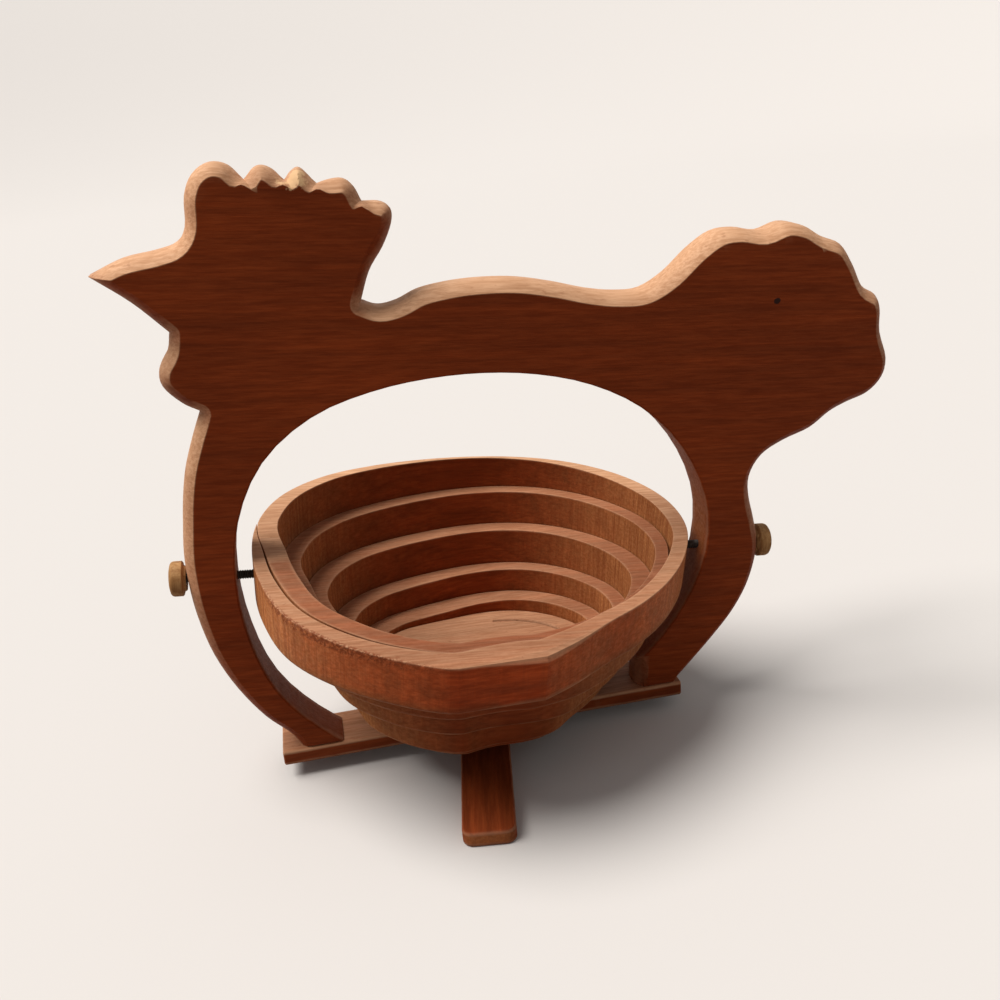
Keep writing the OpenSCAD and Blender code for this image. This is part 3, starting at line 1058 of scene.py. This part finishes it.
class BASKET_OT_stand(bpy.types.Operator):
    """Cross bar and front foot of the stand"""

    bl_idname = "basket.stand"
    bl_label = "Stand"

    def execute(self, context):
        looks = context.scene.basket_looks
        c = tuple(looks.basket_colour)
        pale = tuple(looks.worn_and_lit_colour) + (1,)
        # The bar's top face is mixed halfway towards the pale colour: painted light.
        bar_wood = wood("bar_wood", shade(c, 0.6), shade(c, 1.0), pale, 0.3, 0.4, 0.5)
        foot_wood = wood("foot_wood", shade(c, 0.6), shade(c, 0.95), pale, 0.2, 0.3, 0.0)
        low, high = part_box("crossbar")
        size = high - low
        if abs(size.z - STRIP_T) > 0.1 * MM:
            raise RuntimeError("the cross bar is not as thick as the stand's strips")
        mid = (low + high) / 2
        loop = resample(box_loop(size.x, size.y, 0.8 * MM), 2.5 * MM)
        rounds = np.full(len(loop), 0.5 * MM)
        bar = slab("cross_bar", loop, STRIP_T / 2, rounds, 3 * MM, Matrix.Translation(mid), 1.0)
        soften(bar, 40)
        paint(bar, bar_wood)
        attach(bar, "stand")
        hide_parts("crossbar")
        turned = Matrix.Rotation(math.radians(90 - 8.7), 4, "Z")
        loop = resample(box_loop(154 * MM, 19.8 * MM, 4 * MM), 2.5 * MM)
        foot = slab("foot_strip", loop, STRIP_T / 2, np.full(len(loop), 0.7 * MM), 3 * MM,
                    translation(0, 0, STRIP_T / 2) @ turned)
        soften(foot, 40)
        paint(foot, foot_wood)
        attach(foot, "foot")
        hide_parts("front_foot")
        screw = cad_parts["foot_screw"]
        screw.data.materials.clear()
        screw.data.materials.append(bpy.data.materials["screw_steel"])
        return {"FINISHED"}


def seen_directly(tree):
    """1 for rays from the camera and for reflections, which show the bright backdrop."""
    path = tree.nodes.new("ShaderNodeLightPath")
    return maths(tree, "MAXIMUM", path.outputs["Is Camera Ray"], path.outputs["Is Glossy Ray"])


def stage_material(name, colour, bounce):
    """Pale paper as the camera and reflections see it, that throws less light back on the underside."""
    material = bpy.data.materials.new(name)
    material.use_nodes = True
    tree = material.node_tree
    shader = tree.nodes["Principled BSDF"]
    shader.inputs["Roughness"].default_value = 0.9
    shader.inputs["Specular IOR Level"].default_value = 0.1
    tree.links.new(mixed(tree, seen_directly(tree), bounce, colour), shader.inputs["Base Color"])
    return material


def floor_bowl(flat, rim, rise, segments=96):
    """Round floor that is level to the radius flat and then rises to the radius rim.

    The height is rise times t squared times (3 - 2 t), where t runs from 0 at flat to 1 at rim.
    """
    r = np.concatenate([[0.0], np.linspace(flat, rim, 32)])
    t = np.clip((r - flat) / (rim - flat), 0, 1)
    a = np.linspace(0, TURN, segments, endpoint=False)
    rings = r[1:, None]
    z = (rise * t ** 2 * (3 - 2 * t))[1:, None]
    points = np.stack([rings * np.cos(a), rings * np.sin(a), z + 0 * a], -1).reshape(-1, 3)
    index = np.arange(len(points)).reshape(-1, segments)
    here, out = index[:-1], index[1:]
    quads = np.stack([here, out, np.roll(out, -1, 1), np.roll(here, -1, 1)], -1).reshape(-1, 4).tolist()
    piece = new_mesh("floor", points, quads + [index[0].tolist()], {})
    soften(piece)
    return piece


class BASKET_OT_stage(bpy.types.Operator):
    """Camera, light, floor and backdrop"""

    bl_idname = "basket.stage"
    bl_label = "Stage"

    def execute(self, context):
        scene = context.scene
        looks = scene.stage_looks
        data = bpy.data.cameras.new("camera")
        data.sensor_width = SENSOR_MM
        data.sensor_fit = "HORIZONTAL"
        data.lens = FOCAL_PX / PHOTO_PX * SENSOR_MM
        data.clip_start = 0.01
        camera = bpy.data.objects.new("camera", data)
        scene.collection.objects.link(camera)
        forward = Vector((math.sin(CAMERA_YAW) * math.cos(CAMERA_PITCH),
                          math.cos(CAMERA_YAW) * math.cos(CAMERA_PITCH), -math.sin(CAMERA_PITCH)))
        right = Vector((math.cos(CAMERA_YAW), -math.sin(CAMERA_YAW), 0))
        down = forward.cross(right)
        across = math.cos(CAMERA_ROLL) * right + math.sin(CAMERA_ROLL) * down
        drop = -math.sin(CAMERA_ROLL) * right + math.cos(CAMERA_ROLL) * down
        turn = Matrix((across, -drop, -forward)).transposed().to_4x4()
        camera.matrix_world = pivot_frame() @ Matrix.Translation(CAMERA_AT) @ turn
        scene.camera = camera

        world = bpy.data.worlds.new("room")
        world.use_nodes = True
        background = world.node_tree.nodes["Background"]
        background.inputs["Color"].default_value = (1.0, 0.985, 0.97, 1)
        strength = ranged(world.node_tree, seen_directly(world.node_tree), 0, 1, looks.fill, 0.84)
        world.node_tree.links.new(strength, background.inputs["Strength"])
        scene.world = world

        lamp = bpy.data.lights.new("key", "SUN")
        lamp.energy = looks.sun
        lamp.angle = math.radians(40)
        lamp.color = (1.0, 0.97, 0.93)
        key = bpy.data.objects.new("key", lamp)
        scene.collection.objects.link(key)
        key.rotation_euler = Vector((-0.5, 0.04, 1.0)).to_track_quat("Z", "Y").to_euler()

        floor = floor_bowl(2.6, 6.5, 1.1)
        floor.data.materials.append(stage_material("floor_paper", srgb(217, 213, 210), srgb(132, 124, 118)))
        scene.view_settings.view_transform = "Standard"
        if not scene.camera:
            raise RuntimeError("the stage has no camera")
        return {"FINISHED"}


STEPS = (BASKET_OT_hen_board, BASKET_OT_spiral_basket, BASKET_OT_pivots, BASKET_OT_stand, BASKET_OT_stage)


class BASKET_PT_panel(bpy.types.Panel):
    """Lists the steps that dress the basket"""

    bl_label = "Collapsible Basket"
    bl_idname = "BASKET_PT_panel"
    bl_space_type = "VIEW_3D"
    bl_region_type = "UI"
    bl_category = "Basket"

    def draw(self, context):
        layout = self.layout
        for group in (context.scene.basket_looks, context.scene.stage_looks):
            for key in group.__annotations__:
                layout.prop(group, key)
        for step in STEPS:
            layout.operator(step.bl_idname)


CLASSES = (BasketLooks, StageLooks) + STEPS + (BASKET_PT_panel,)


def register():
    for cls in CLASSES:
        bpy.utils.register_class(cls)
    bpy.types.Scene.basket_looks = bpy.props.PointerProperty(type=BasketLooks)
    bpy.types.Scene.stage_looks = bpy.props.PointerProperty(type=StageLooks)


def unregister():
    del bpy.types.Scene.basket_looks
    del bpy.types.Scene.stage_looks
    for cls in reversed(CLASSES):
        bpy.utils.unregister_class(cls)


def main():
    register()
    GROUPS["grain"] = grain_group()
    GROUPS["wear"] = wear_group()
    GROUPS["saw"] = saw_group()
    GROUPS["chip"] = chip_group()
    for step in STEPS:
        area, name = step.bl_idname.split(".")
        getattr(getattr(bpy.ops, area), name)()


if __name__ == "__main__":
    main()
